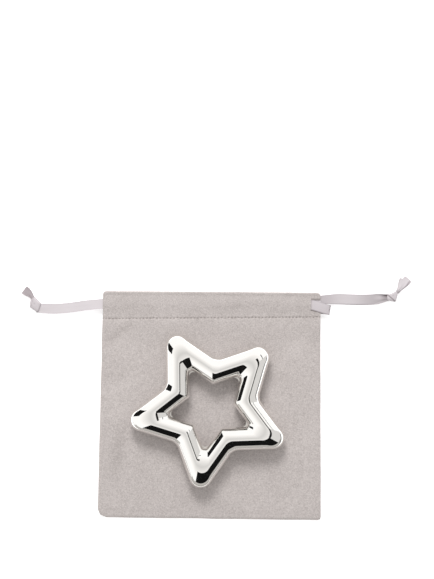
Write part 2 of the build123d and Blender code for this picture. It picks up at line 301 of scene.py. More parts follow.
# %% A dark stand and a grey apron
# The stand is on the left, beyond the pouch's upper corner, and breaks the white there.
STAND_NEAR = Vector((-190, 29.7)) * MM
STAND_FAR = Vector((-116, 90.8)) * MM
STAND_HEIGHT = 165 * MM
stand_run = STAND_FAR - STAND_NEAR
stand_place = (*((STAND_NEAR + STAND_FAR) / 2), STAND_HEIGHT / 2)
stand_turn = (pi / 2, 0, atan2(stand_run.y, stand_run.x))
bpy.ops.object.select_all(action="DESELECT")
bpy.ops.mesh.primitive_plane_add(size=1, location=stand_place, rotation=stand_turn)
stand = bpy.context.object
stand.name = "dark_stand"
stand.scale = (stand_run.length, STAND_HEIGHT, 1)
stand.data.materials.append(sheet_material("stand_dark", 0.01, 0))
only_reflected(stand)

# The apron lies on the table in front of the pouch, and takes the glare off the silver's lower edge.
APRON_SIZE = 1.2
APRON_EDGE_Y = -0.068
bpy.ops.object.select_all(action="DESELECT")
bpy.ops.mesh.primitive_plane_add(size=APRON_SIZE, location=(0, APRON_EDGE_Y - APRON_SIZE / 2, 0.4 * MM))
apron = bpy.context.object
apron.name = "front_apron"
apron.data.materials.append(sheet_material("apron_grey", 0.42, 0.08))
only_reflected(apron)

# %% [markdown]
# ## The finishes
#
# The suede cloth is a felted microfibre. Its nap lies in patches that catch the light in different ways, so
# its colour is cloudy at three sizes: brushed patches, small mottles and the grain of the fibres.

# %% Suede cloth
suede = Finish("greige_suede")
where = suede.place()
patches = suede.grain(where, 20 * MM, 2) - 0.5
mottles = suede.grain(where, 2.4 * MM, 3, 0.6) - 0.5
fibres = suede.grain(where, 0.62 * MM, 3, 0.85) - 0.5
# Painted shade in the hollows of creases and painted light on their ridges, and a little darker above the
# row of stitches.
painted_crease_shading = suede.written("painted_crease_shading")
# Painted shade along the stitches and at their needle holes, under the top fold and along the bottom seam,
# and a painted shadow below the ribbon's loop.
line_shade_amount = suede.written("painted_line_shade")
nap = (patches * 0.3 + mottles * 0.5 + fibres * 2.9 + painted_crease_shading * 0.32 + 0.55).limited()
suede_colour = suede.mix(nap, shade(178, 170, 167, 0.96), shade(220, 212, 209, 0.96))
# The dark chip is the colour of that painted shade and painted shadow.
suede_colour = suede.mix(line_shade_amount.limited() * 0.72, suede_colour, shade(112, 103, 99))
suede_relief = suede.bump(fibres * 1.2 + mottles * 0.5, 0.16 * MM, 0.8)
suede.set(Base_Color=suede_colour, Roughness=0.95, Normal=suede_relief)
suede.set(Specular_IOR_Level=0.1, Sheen_Weight=0.12, Sheen_Roughness=0.5)
print("suede nodes", len(suede.tree.nodes))

# %% [markdown]
# The ribbon is a narrow satin: its long threads lie side by side on the face and make it shine along its
# length, and a firmer edge runs down both sides. Its UV map runs along it in U and across it in V. The left
# ribbon's cut ends show its back, which is duller and darker.

# %% Satin ribbon
satin = Finish("lilac_satin")
along_across = satin.unwrapped()
across = satin.node("ShaderNodeSeparateXYZ", {}, {"Vector": along_across}, "Y")
stretched = satin.node("ShaderNodeMapping", {}, {"Vector": along_across, "Scale": (1.2, 60, 1)})
threads = satin.node("ShaderNodeTexNoise", {}, {"Vector": stretched, "Scale": 1.0, "Detail": 3.0}, "Fac")
from_middle = across.math("ABSOLUTE", across - 0.5)
edge = ((from_middle - 0.44) * 40).limited()
satin_colour = satin.mix(threads, shade(208, 201, 204), shade(227, 220, 223))
satin_colour = satin.mix(edge * 0.35, satin_colour, shade(176, 168, 172))
# Painted shade and painted sheen that the ribbon pieces carry: darker in folds, under edges and near the
# knots, and lighter and darker bands along the free ends. The dark chip is the colour of that painted shade.
painted_sheen_and_shade = satin.written("painted_sheen_and_shade")
satin_colour = satin.mix(painted_sheen_and_shade * 0.8, satin_colour, shade(112, 101, 105))
satin_relief = satin.bump(threads * 0.4 + edge, 0.04 * MM, 0.5)
satin.set(Base_Color=satin_colour, Roughness=threads * 0.2 + 0.36, Normal=satin_relief)
satin.set(Specular_IOR_Level=0.35, Sheen_Weight=0.2, Sheen_Roughness=0.35)

satin_back = Finish("lilac_satin_back")
weft = satin_back.grain(satin_back.place(), 0.5 * MM, 3)
back_colour = satin_back.mix(weft, shade(167, 156, 160), shade(187, 177, 180))
satin_back.set(Base_Color=back_colour, Roughness=0.7, Normal=satin_back.bump(weft, 0.03 * MM, 0.5))
print("satin nodes", len(satin.tree.nodes))

# %% [markdown]
# The sewing thread matches the cloth, but its colour is painted darker here, as painted shade for the holes
# it lies in. The silver is almost a perfect mirror, with faint smudges. The rattle's beads and the solder
# are plainer metal.

# %% Thread, silver and steel
thread = Finish("sewing_thread")
twist = thread.grain(thread.place(), 0.12 * MM, 2)
# Painted shade: the thread is darker than the cloth because of the holes it lies in.
thread_colour = thread.mix(twist, shade(122, 112, 108), shade(166, 157, 153))
thread.set(Base_Color=thread_colour, Roughness=0.8, Normal=thread.bump(twist, 0.03 * MM))

silver = Finish("polished_silver")
smudges = silver.grain(silver.place(), 9 * MM, 3)
silver_colour = silver.mix(smudges, shade(249, 247, 243), shade(252, 251, 249))
silver.set(Base_Color=silver_colour, Metallic=1.0, Roughness=smudges * 0.03 + 0.012)

solder = Finish("silver_solder")
ripple = solder.grain(solder.place(), 0.8 * MM, 2)
solder.set(Base_Color=shade(225, 222, 216), Metallic=1.0, Roughness=ripple * 0.2 + 0.2)

steel = Finish("bead_steel")
scratches = steel.grain(steel.place(), 0.6 * MM, 3)
steel.set(Base_Color=shade(190, 190, 190), Metallic=1.0, Roughness=scratches * 0.3 + 0.2)

paper = Finish("table_white")
fleck = paper.grain(paper.place(), 40 * MM, 2)
paper.set(Base_Color=paper.mix(fleck, (0.94, 0.94, 0.94, 1), (0.96, 0.96, 0.96, 1)), Roughness=0.9)
paper.set(Emission_Color=(1, 1, 1, 1), Emission_Strength=0.50)
table.data.materials.append(paper.material)
print("finishes", [material.name for material in bpy.data.materials])

# %% [markdown]
# ## The pouch
#
# Each panel is one piece of cloth. It runs up the pouch, is folded over at the mouth and comes back down
# inside as a hem. A row of stitches holds the hem, and leaves a tunnel for the ribbons above it. A flat
# grid is bent to that course: its columns run across the pouch, and its rows follow the cloth.

# %% Sizes of the pouch, from the measured model
panel_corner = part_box("front_panel")[1]
stitch_low, stitch_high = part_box("front_casing_stitches")
HALF_WIDTH = panel_corner.x
HALF_HEIGHT = panel_corner.y
CASING_TOP = panel_corner.z
CLOTH = 0.5 * MM
BODY_TOP = 2.2 * MM
BODY_MIDDLE = BODY_TOP / 2
HEM_Z = 2.32 * MM
BACK_HEM_Z = 1.98 * MM
STITCH_Y = (stitch_low.y + stitch_high.y) / 2
STITCH_Z = (stitch_low.z + stitch_high.z) / 2
STITCH_PITCH = 1.8 * MM
HEM_END_Y = STITCH_Y - 1 * MM
RAMP_Y = HEM_END_Y - 15 * MM
HEM_HALF_WIDTH = 53.8 * MM
SLIT_X = 52.75 * MM
SLIT_Y = 52.9 * MM
SLIT_HALF = 2.75 * MM
DIP_Z = 2.72 * MM  # the pressed strip beyond the slit
SEAM_ROLL = 1.5 * MM
print("pouch in mm", round(2 * HALF_WIDTH / MM, 1), round(2 * HALF_HEIGHT / MM, 1))


# %% Smooth steps, even rows and soft noise
def ease(value, low, high):
    """0 below low, 1 above high, and a smooth step between them."""
    share = min(1.0, max(0.0, (value - low) / (high - low)))
    return share * share * (3 - 2 * share)


def between(values, key):
    """A smooth curve through (key, value) pairs."""
    for (key_a, a), (key_b, b) in zip(values, values[1:]):
        if key <= key_b:
            return a + (b - a) * ease(key, key_a, key_b)
    return values[-1][1]


def steps(low, high, step):
    """Even places from low up to high, without high itself."""
    count = max(1, ceil((high - low) / step))
    return [low + (high - low) * i / count for i in range(count)]


def ruffle(x, y, size, seed):
    """Soft noise from about -1 to 1, with features of that size."""
    return noise.noise(Vector((x / size, y / size, seed)))


# %% [markdown]
# Cloth that has been sewn and laid down is never quite a rectangle. The corners of this pouch are moved by a
# millimetre or so, and everything on it moves with them, so one function takes a flat place to its real one.

# %% The outline as it lies
CORNER_SHIFTS = {
    (-1, -1): (-1.5 * MM, 1.25 * MM),
    (1, -1): (0.1 * MM, -0.35 * MM),
    (-1, 1): (1.5 * MM, 0.05 * MM),
    (1, 1): (-0.2 * MM, -0.95 * MM),
}
LINE_LEFT = -0.8 * MM  # how far the row of stitches leaves its straight course at either side
LINE_RIGHT = 1.1 * MM


def hump(distance, width):
    """1 at no distance, about a third at the width, and soon nothing beyond it."""
    return exp(-((distance / width) ** 2))


def as_laid(x, y):
    """Where a point of the flat, true rectangle lies on the table."""
    across = x / HALF_WIDTH
    up = y / HALF_HEIGHT
    line = LINE_LEFT + (LINE_RIGHT - LINE_LEFT) * (across + 1) / 2
    dx = 0.0
    dy = line * hump(y - STITCH_Y, 7 * MM)
    for (side, end), (shift_x, shift_y) in CORNER_SHIFTS.items():
        share = (1 + side * across) * (1 + end * up) / 4
        dx += shift_x * share
        dy += shift_y * share
    wave = 0.16 * MM * ruffle(x, y, 14 * MM, 3.0)
    return x + dx + wave * abs(across) ** 6, y + dy + wave * abs(up) ** 6


def rounding(x, y):
    """How far a corner of the outline is cut back both ways. The lower left one is the most worn."""
    reach = (4.6 if x < 0 and y < 0 else 1.6) * MM
    in_x = max(0.0, abs(x) - (HALF_WIDTH - reach)) / reach
    in_y = max(0.0, abs(y) - (HALF_HEIGHT - reach)) / reach
    return in_x * in_y * reach * 0.3


# %% The course of the cloth
FOLD = (CASING_TOP - HEM_Z) / 2
BACK_FOLD = BACK_HEM_Z / 2
NEAR_EDGE = [place * MM for place in (0, 0.08, 0.25, 0.5, 0.85, 1.3, 1.9, 2.7)]  # in from a rolled edge
FOLD_TURNS = 10


def cloth_rows(top_profile, fold_radius, fold_z, hem_z):
    """The course of a panel from the bottom seam over the fold to the end of the hem, as (y, z, part).

    part is 0 on the outside, 1 on the hem, and between the two on the fold."""
    rows = [-HALF_HEIGHT + place for place in NEAR_EDGE]
    rows += steps(rows[-1] + 1.2 * MM, RAMP_Y, 1.3 * MM)
    rows += steps(RAMP_Y, STITCH_Y - 1.6 * MM, 0.9 * MM)
    rows += steps(STITCH_Y - 1.6 * MM, STITCH_Y + 2.4 * MM, 0.35 * MM)
    rows += steps(STITCH_Y + 2.4 * MM, HALF_HEIGHT - fold_radius, 0.8 * MM)
    course = [(y, top_profile(y), 0.0) for y in rows]
    for i in range(FOLD_TURNS + 1):
        angle = pi * i / FOLD_TURNS
        y = HALF_HEIGHT - fold_radius + fold_radius * sin(angle)
        rise = top_profile(y) - fold_z if angle < pi / 2 else fold_z - hem_z
        course.append((y, fold_z + rise * cos(angle), i / FOLD_TURNS))
    for y in reversed(steps(HEM_END_Y, HALF_HEIGHT - fold_radius, 1.2 * MM)):
        course.append((y, hem_z, 1.0))
    return course


def front_top(y):
    """The height of the front panel's outside."""
    return between(
        [
            (RAMP_Y, BODY_TOP),
            (STITCH_Y - 0.5 * MM, STITCH_Z + 0.06 * MM),
            (STITCH_Y, STITCH_Z - 0.06 * MM),
            (STITCH_Y + 0.5 * MM, STITCH_Z + 0.08 * MM),
            (STITCH_Y + 8.0 * MM, CASING_TOP),
        ],
        max(y, RAMP_Y),
    )


print("fold radii in mm", round(FOLD / MM, 2), round(BACK_FOLD / MM, 2))

# %% [markdown]
# The sides are sewn shut below the casing, so both panels roll in there to meet at the middle of the pouch's
# thickness. Above the stitches the sides stay open, as the mouths of the tunnel. At the right, a short slit
# in the front casing lets the left ribbon's loop out, and the strip beyond it is pressed down under it.

# %% The grid's columns and the rolled edges
columns = [-HALF_WIDTH + place for place in NEAR_EDGE]
columns += steps(columns[-1] + 0.6 * MM, SLIT_X - 0.3 * MM, 0.62 * MM)
columns += [SLIT_X - 0.12 * MM, SLIT_X, SLIT_X + 0.1 * MM, SLIT_X + 0.25 * MM]
columns += steps(SLIT_X + 0.7 * MM, HALF_WIDTH - NEAR_EDGE[-1], 0.6 * MM)
columns += [HALF_WIDTH - place for place in reversed(NEAR_EDGE)]


def rolled(distance):
    """The height left at a distance in from a rolled edge, from 0 at the edge to 1 inside."""
    inside = min(1.0, max(0.0, distance / SEAM_ROLL))
    return sqrt(1 - (1 - inside) ** 2)


# %% The marks and the swell of the cloth
# Marks of folding and handling: from, to and half-width in mm, and how much lighter the cloth is painted
# along them. A mark painted darker is a hollow with painted shade in it, and one painted lighter is a low
# ridge with painted light on it.
MARKS = [
    ((-57, 31), (-41, 45), 2.6, -0.7),
    ((-56, 27), (-36, 41), 2.2, 0.25),
    ((-46, -10), (-50, -42), 3.0, -0.75),
    ((-57, 5), (-39, 13), 2.8, 0.35),
    ((-57, -8), (-38, -2), 2.4, 0.25),
    ((-32, -27), (-18, -19), 3.2, 0.35),
    ((33, 19), (52, 37), 2.4, 0.35),
    ((36, -26), (56, -14), 3.0, 0.2),
    ((-20, -50), (16, -54), 3.5, -0.25),
    ((0, 52), (44, 54), 1.8, -0.35),
    ((-57, 51), (-30, 53), 1.6, -0.2),
]


def marks(x, y):
    """How much lighter or darker the cloth is painted at a place: painted shade in the hollows of creases
    and painted light on their ridges. The cloth rises or sinks there by the same measure.
    """
    total = 0.0
    for (from_x, from_y), (to_x, to_y), reach, amount in MARKS:
        run = Vector((to_x - from_x, to_y - from_y)) * MM
        place = Vector((x - from_x * MM, y - from_y * MM))
        along = place.dot(run) / run.length_squared
        beside = (place.x * run.y - place.y * run.x) / run.length / (reach * MM)
        total += amount * ease(along, -0.15, 0.3) * (1 - ease(along, 0.7, 1.15)) * hump(beside, 1)
    return total


def pouch_swell(x, y):
    """Soft undulations of cloth that lies over another layer."""
    calm = 1 - 0.75 * ease(y, STITCH_Y - 8 * MM, STITCH_Y)
    broad = 0.20 * MM * ruffle(x * 1.1 + y * 0.5, y * 0.9 - x * 0.3, 17 * MM, 1.0)
    small = 0.08 * MM * ruffle(x - y * 0.6, y + x * 0.2, 6 * MM, 8.0)
    return (broad + small) * calm + 0.25 * MM * marks(x, y) * calm


# %% Where the thread strays and sinks the cloth, and the painted shade along stitches, fold, seam and loop
def wander(x):
    """How far the row of stitches strays to the side, as any sewn row does."""
    return 0.42 * MM * ruffle(x, 0, 2.1 * MM, 6)


def needle_hole(x):
    """1 at each needle hole of the row, falling to 0 half way between two."""
    return (0.5 + 0.5 * cos(2 * pi * x / STITCH_PITCH)) ** 2


def pucker(x, y):
    """The little hollows that the stitches pull into the cloth."""
    close = hump(y - STITCH_Y - wander(x), 0.7 * MM)
    return -0.11 * MM * close * (0.5 + 0.5 * needle_hole(x)) * (1 + 0.6 * ruffle(x, 0, 5 * MM, 4))


def painted_line_shade(x, y):
    """Painted shade along the row of stitches, darkest at the needle holes, under the top fold and along the
    bottom seam, and a painted shadow below the ribbon's loop beside the slit.
    """
    row = hump(y - STITCH_Y - wander(x), 0.36 * MM)
    row *= (0.15 + 0.85 * needle_hole(x)) * max(0.15, 0.75 + 1.3 * ruffle(x, 2, 6 * MM, 5))
    fold = 0.32 * hump(HALF_HEIGHT - y - 1.3 * MM, 0.5 * MM) * (1 + ruffle(x, 5, 9 * MM, 2))
    seam = 0.14 * hump(y + HALF_HEIGHT - 3.4 * MM, 0.6 * MM)
    beside_loop = (y - 49.75 * MM) + 0.22 * (x - SLIT_X)
    loop = 1.1 * hump(beside_loop, 0.4 * MM) * ease(x, SLIT_X - 0.3 * MM, SLIT_X)
    return row + fold + seam + loop


def at_the_slit(x, y, z):
    """The front's height round the slit: the strip beyond it is pushed down, and its lip stands up."""
    in_slit = ease(x, SLIT_X - 0.05 * MM, SLIT_X + 0.15 * MM)
    in_slit *= 1 - ease(abs(y - SLIT_Y), SLIT_HALF, SLIT_HALF + 0.5 * MM)
    z += (DIP_Z - z) * in_slit
    if x > SLIT_X:
        return z
    lip = hump(x - SLIT_X + 0.3 * MM, 1.2 * MM)
    lip *= 1 - ease(abs(y - SLIT_Y), 2.4 * MM, 4.5 * MM)
    return z + 0.16 * MM * lip


# %% Bending the grid into a panel
def bend_panel(name, course, outside_way, seam_z):
    """A grid bent to the course. outside_way is 1 where the outside faces up and -1 where it faces down."""
    bpy.ops.object.select_all(action="DESELECT")
    bpy.ops.mesh.primitive_grid_add(x_subdivisions=len(columns) - 1, y_subdivisions=len(course) - 1, size=2)
    panel = bpy.context.object
    panel.name = name
    across = len(columns)
    painted_crease_shading = panel.data.attributes.new("painted_crease_shading", "FLOAT", "POINT")
    darkened = panel.data.attributes.new("painted_line_shade", "FLOAT", "POINT")
    for index, vertex in enumerate(panel.data.vertices):
        x = columns[index % across]
        y, z, part = course[index // across]
        if part < 0.5:
            # Painted light and shade of the creases, and a little darker above the row of stitches.
            painted_crease_shading.data[index].value = marks(x, y) - 0.12 * ease(y, STITCH_Y, STITCH_Y + 1 * MM)
            # Painted shade of the stitches, the top fold and the bottom seam, and a painted shadow below the
            # loop.
            darkened.data[index].value = painted_line_shade(x, y)
        if part == 0.0:
            open_side = ease(y, RAMP_Y + 2 * MM, STITCH_Y - 0.5 * MM)
            side = rolled(HALF_WIDTH - abs(x))
            bottom = rolled(y + HALF_HEIGHT)
            height = min(side + (1 - side) * open_side, bottom)
            if outside_way > 0:
                z += pouch_swell(x, y) + pucker(x, y)
            z = seam_z + (z - seam_z) * height
        elif part == 1.0:
            x *= HEM_HALF_WIDTH / HALF_WIDTH
        else:
            x *= 1 + (HEM_HALF_WIDTH / HALF_WIDTH - 1) * ease(part, 0.5, 1.0)
        if outside_way > 0 and part < 0.5:
            z = at_the_slit(x, y, z)
        cut = rounding(x, y)
        x -= cut if x > 0 else -cut
        y -= cut if y > 0 else -cut
        vertex.co = Vector((*as_laid(x, y), z))
    print(name, len(panel.data.vertices), "points")
    return panel


front_course = cloth_rows(front_top, FOLD, HEM_Z + FOLD, HEM_Z)
back_course = cloth_rows(lambda y: 0.0, BACK_FOLD, BACK_FOLD, BACK_HEM_Z)
front_panel = bend_panel("front_panel_suede", front_course, 1, BODY_MIDDLE)
back_panel = bend_panel("back_panel_suede", back_course, -1, BODY_MIDDLE)


# %% Giving the panels their thickness
def select_only(piece):
    """Makes one object the selected and active one."""
    bpy.ops.object.select_all(action="DESELECT")
    piece.select_set(True)
    bpy.context.view_layer.objects.active = piece


def apply(piece, kind, **settings):
    """Adds a modifier and applies it."""
    select_only(piece)
    modifier = piece.modifiers.new(kind.lower(), kind)
    for name, value in settings.items():
        setattr(modifier, name, value)
    bpy.ops.object.modifier_apply(modifier=modifier.name)


def smooth(piece, angle=40):
    """Smooth shading, with edges sharper than the angle kept."""
    select_only(piece)
    bpy.ops.object.shade_smooth_by_angle(angle=radians(angle))


def turn_over(piece):
    """Turns a mesh's faces round."""
    select_only(piece)
    bpy.ops.object.mode_set(mode="EDIT")
    bpy.ops.mesh.select_all(action="SELECT")
    bpy.ops.mesh.flip_normals()
    bpy.ops.object.mode_set(mode="OBJECT")


turn_over(back_panel)
for panel, node in ((front_panel, "front_panel"), (back_panel, "back_panel")):
    apply(panel, "SOLIDIFY", thickness=CLOTH, offset=-1)
    smooth(panel, 50)
    panel.data.materials.append(suede.material)
    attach(panel, "pouch")
    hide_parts(node)
print("panels", [len(panel.data.polygons) for panel in (front_panel, back_panel)], "faces")

# %% [markdown]
# ## The stitches
#
# Each stitch is a short piece of thread between two needle holes, a little sunk at both ends. One is
# modelled from a small cylinder, and copied along the row. The row strays a little, as any sewn row does.

# %% The stitches of the casings
STITCH_LENGTH = 1.25 * MM
STITCH_BEND = 0.3 * STITCH_LENGTH  # from its middle to where an end starts down
THREAD_RADIUS = 0.21 * MM


def one_stitch():
    """A thread along X with its ends bent down into the cloth."""
    bpy.ops.object.select_all(action="DESELECT")
    bpy.ops.mesh.primitive_cylinder_add(vertices=6, radius=THREAD_RADIUS, depth=STITCH_LENGTH,
                                        rotation=(0, pi / 2, 0))
    stitch = bpy.context.object
    bpy.ops.object.transform_apply(location=True, rotation=True, scale=True)
    bpy.ops.object.mode_set(mode="EDIT")
    for x in (-STITCH_BEND, STITCH_BEND):
        bpy.ops.mesh.select_all(action="SELECT")
        bpy.ops.mesh.bisect(plane_co=(x, 0, 0), plane_no=(1, 0, 0))
    bpy.ops.object.mode_set(mode="OBJECT")
    for vertex in stitch.data.vertices:
        end = ease(abs(vertex.co.x), STITCH_BEND, 0.5 * STITCH_LENGTH)
        vertex.co.z -= 0.16 * MM * end
        vertex.co.y *= 1 - 0.3 * end
    return stitch


def row_of_stitches(name, node, height_at, way):
    """Copies of one stitch along a casing's row, joined into one piece. way is -1 on the underside."""
    low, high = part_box(node)
    count = int((high.x - low.x) // STITCH_PITCH) + 1
    first = one_stitch()
    copies = []
    for i in range(count):
        x = low.x + STITCH_LENGTH / 2 + i * STITCH_PITCH
        y = STITCH_Y + wander(x)
        copy = first.copy()
        copy.data = first.data.copy()
        bpy.context.collection.objects.link(copy)
        lean = 0.35 * ruffle(x, 1, 1.1 * MM, 9)
        for vertex in copy.data.vertices:
            px, py, pz = vertex.co
            laid = as_laid(x + px * cos(lean) - py * sin(lean), y + px * sin(lean) + py * cos(lean))
            vertex.co = (*laid, height_at(x, y) + way * pz)
        copies.append(copy)
    bpy.data.objects.remove(first)
    bpy.ops.object.select_all(action="DESELECT")
    for copy in copies:
        copy.select_set(True)
    bpy.context.view_layer.objects.active = copies[0]
    bpy.ops.object.join()
    row = bpy.context.object
    row.name = name
    if way < 0:
        turn_over(row)
    smooth(row, 60)
    row.data.materials.append(thread.material)
    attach(row, "pouch")
    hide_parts(node)
    print(name, count, "stitches")


def front_thread_z(x, y):
    """The middle of the thread in the front's row, a little sunk into the cloth as it lies."""
    return STITCH_Z - 0.10 * MM + pouch_swell(x, y) + pucker(x, y)


row_of_stitches("front_casing_thread", "front_casing_stitches", front_thread_z, 1)
row_of_stitches("back_casing_thread", "back_casing_stitches", lambda x, y: THREAD_RADIUS, -1)
for name in ("left_seam_stitches", "right_seam_stitches", "bottom_seam_stitches"):
    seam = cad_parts[name]
    seam.data.materials.clear()
    seam.data.materials.append(thread.material)

# %% [markdown]
# ## The ribbons
#
# A ribbon is a strip that keeps its width and turns easily only over its flat side. Its middle line is a
# smooth curve that a few chosen points pull into place. A long flat grid is then laid along that line: its
# columns follow the curve, its rows go across. The strip can roll, narrow and pleat, as it does near a knot.

# %% Laying a strip along a curve
RIBBON_WIDTH = 5.2 * MM
RIBBON_THICK = 0.22 * MM


def smooth_line(name, points, spacing=0.5 * MM):
    """Evenly spaced points of a smooth curve drawn along a route, in metres, and the curve's length."""
    curve = bpy.data.curves.new(name, "CURVE")
    curve.dimensions = "3D"
    spline = curve.splines.new("NURBS")
    spline.points.add(len(points) - 1)
    for point, place in zip(spline.points, points):
        point.co = (*place, 1)
    spline.order_u = 3
    spline.use_endpoint_u = True
    spline.resolution_u = 24
    guide = bpy.data.objects.new(name, curve)
    bpy.context.collection.objects.link(guide)
    select_only(guide)
    bpy.ops.object.convert(target="MESH")
    fine = [vertex.co.copy() for vertex in bpy.context.object.data.vertices]
    bpy.data.objects.remove(bpy.context.object)
    travelled = [0.0]
    for a, b in zip(fine, fine[1:]):
        travelled.append(travelled[-1] + (b - a).length)
    count = max(8, round(travelled[-1] / spacing))
    line = []
    k = 0
    for i in range(count + 1):
        goal = travelled[-1] * i / count
        while k < len(fine) - 2 and travelled[k + 1] < goal:
            k += 1
        share = (goal - travelled[k]) / max(1e-9, travelled[k + 1] - travelled[k])
        line.append(fine[k].lerp(fine[k + 1], min(1.0, share)))
    return line, travelled[-1]


def strip(name, line, width, roll=lambda t: 0.0, pleat=lambda t, v: 0.0, lean=lambda t: 0.0,
          painted_sheen_and_shade=lambda t, v: 0.0, rows=14):
    """A ribbon along a line. t runs from 0 to 1 along it, and v from -1 to 1 across it.

    width(t) is its width, roll(t) turns it about its own line, lean(t) skews its cross lines along it,
    pleat(t, v) lifts it off its flat side, and the last function of t and v gives how dark it is painted:
    painted shade in folds, under edges and near knots, and painted sheen in bands along it."""
    bpy.ops.object.select_all(action="DESELECT")
    bpy.ops.mesh.primitive_grid_add(x_subdivisions=len(line) - 1, y_subdivisions=rows, size=2)
    ribbon = bpy.context.object
    ribbon.name = name
    count = len(line)
    darkness = ribbon.data.attributes.new("painted_sheen_and_shade", "FLOAT", "POINT")
    for index, vertex in enumerate(ribbon.data.vertices):
        i, j = index % count, index // count
        t, v = i / (count - 1), 2 * j / rows - 1
        ahead = (line[min(i + 1, count - 1)] - line[max(i - 1, 0)]).normalized()
        level = Vector((0, 0, 1)).cross(ahead)
        level = level.normalized() if level.length > 1e-6 else Vector((0, 1, 0))
        upright = ahead.cross(level)
        angle = roll(t)
        side = level * cos(angle) + upright * sin(angle)
        lift = upright * cos(angle) - level * sin(angle)
        half = width(t) / 2
        vertex.co = line[i] + side * (half * v) + lift * pleat(t, v) + ahead * (lean(t) * v)
        darkness.data[index].value = painted_sheen_and_shade(t, v)
    return ribbon


def finish_ribbon(ribbon, body, node):
    """Gives a strip its thickness and its finish, and puts it on its body."""
    apply(ribbon, "SOLIDIFY", thickness=RIBBON_THICK, offset=0)
    smooth(ribbon, 40)
    ribbon.data.materials.append(satin.material)
    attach(ribbon, body)
    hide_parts(node)


# %% [markdown]
# Each ribbon leaves the pouch as a pair of free ends, one close above the other, which go down to the table
# and into their knot. The left pair stays flat. The right pair is pleated where the knot gathers it.

# %% The free ends
def route(points):
    """A route given in millimetres."""
    return [Vector(point) * MM for point in points]


LEFT_UPPER = route([(-57.7, 52.975, 3.525), (-64.0, 52.5, 3.15), (-71.0, 51.4, 1.60), (-78.0, 50.6, 0.85),
                    (-84.5, 50.4, 0.75), (-91.0, 51.0, 1.20)])
LEFT_LOWER = route([(-57.7, 52.975, 0.775), (-64.0, 52.5, 0.62), (-71.0, 51.4, 0.40), (-78.0, 50.6, 0.35),
                    (-84.5, 50.4, 0.40), (-91.0, 51.0, 0.85)])
RIGHT_UPPER = route([(57.7, 55.2, 3.075), (65.5, 55.8, 2.80), (72.5, 55.5, 1.65), (80.0, 55.3, 0.90),
                     (87.0, 55.6, 0.80), (94.0, 56.5, 1.25)])
RIGHT_LOWER = route([(57.7, 55.2, 1.225), (65.5, 55.6, 0.85), (72.5, 55.2, 0.45), (80.0, 55.0, 0.35),
                     (87.0, 55.3, 0.42), (94.0, 56.3, 0.90)])


# Painted sheen and painted shade along the free ends, darkest where they gather into the knots.
def left_sheen(t, v):
    """How dark the left ribbon looks along its length: brightest near the pouch, dark at its knot."""
    along = 0.01 + (0.09 - 0.03 * v) * ease(t, 0.4, 1.0)
    return along + (0.35 + 0.5 * ease(v, -0.6, 0.8)) * ease(t, 0.985, 1.0)


def right_sheen(t, v):
    """The right ribbon has one bright band, and is dark where it is gathered into its knot."""
    along = 0.23 + 0.17 * cos(2 * pi * (t - 0.02) / 0.76)
    return along + (0.3 + 0.8 * ease(v, -0.6, 0.8)) * ease(t, 0.83, 0.97)


MOUTH_SHARE = 0.85  # of its width, where the right ribbon squeezes out of the casing beside the other one
free_ends = {}


def free_end(name, body, points, mouth, narrowing, depth, tilt, sheen):
    """A ribbon from the pouch's mouth, where it has the share mouth of its width, to its knot.

    There it is narrower by a share, pleated to a depth in mm and tilted by an angle in degrees."""
    def width(t):
        at_mouth = 1 - (1 - mouth) * (1 - ease(t, 0.0, 0.25))
        return RIBBON_WIDTH * (1 - narrowing * ease(t, 0.80, 1.0)) * at_mouth

    def pleat(t, v):
        gathers = depth * ease(t, 0.7, 1.0) * (cos(4.2 * v + 0.6) - 0.4)
        return (gathers + 0.12 * sin(9 * t + 1.0) * ease(t, 0.0, 0.2)) * MM

    def roll(t):
        return radians(tilt) * ease(t, 0.15, 0.5)

    line, length = smooth_line(name, points)
    ribbon = strip(name + "_satin", line, width, roll=roll, pleat=pleat, painted_sheen_and_shade=sheen)
    finish_ribbon(ribbon, body, name)
    free_ends[name] = (ribbon, line, length)
    print(name, "length in mm", round(length / MM, 1))


free_end("left_ribbon_upper_end", "left_ribbon", LEFT_UPPER, 1.0, 0.06, 0.06, 0, left_sheen)
free_end("left_ribbon_lower_end", "left_ribbon", LEFT_LOWER, 1.0, 0.12, 0.05, 0, left_sheen)
free_end("right_ribbon_upper_end", "right_ribbon", RIGHT_UPPER, MOUTH_SHARE, 0.40, 0.42, 8, right_sheen)
free_end("right_ribbon_lower_end", "right_ribbon", RIGHT_LOWER, MOUTH_SHARE, 0.40, 0.10, 0, right_sheen)

# %% [markdown]
# Each ribbon runs through one tunnel and turns back through the other. The left ribbon's turn hangs out of
# the slit at the right as a small slack loop, folded over and leaning to the front. That loop is a piece of
# its own. On the real pouch it shortens as the left pair of ends is pulled and takes up its slack.

# %% The left ribbon's run and its slack loop
left_run = route([
    (-57.7, 52.975, 3.525), (-50.0, 53.45, 3.525), (-30.0, 52.2, 3.525), (10.0, 51.4, 3.525),
    (40.0, 52.2, 3.52), (49.0, 52.8, 3.50), (53.0, 52.6, 3.55), (57.0, 51.4, 3.95), (60.4, 50.3, 3.75),
    (62.1, 49.9, 3.1), (62.3, 49.9, 2.2), (61.7, 50.0, 1.2), (59.4, 50.3, 0.80), (52.0, 50.6, 0.775),
    (10.0, 50.7, 0.775), (-30.0, 52.2, 0.775), (-50.0, 53.45, 0.775), (-57.7, 52.975, 0.775),
])
RUN_SPACING = 0.4 * MM
LOOP_START = SLIT_X - 0.35 * MM


def full_width(t):
    """A ribbon that keeps its width."""
    return RIBBON_WIDTH


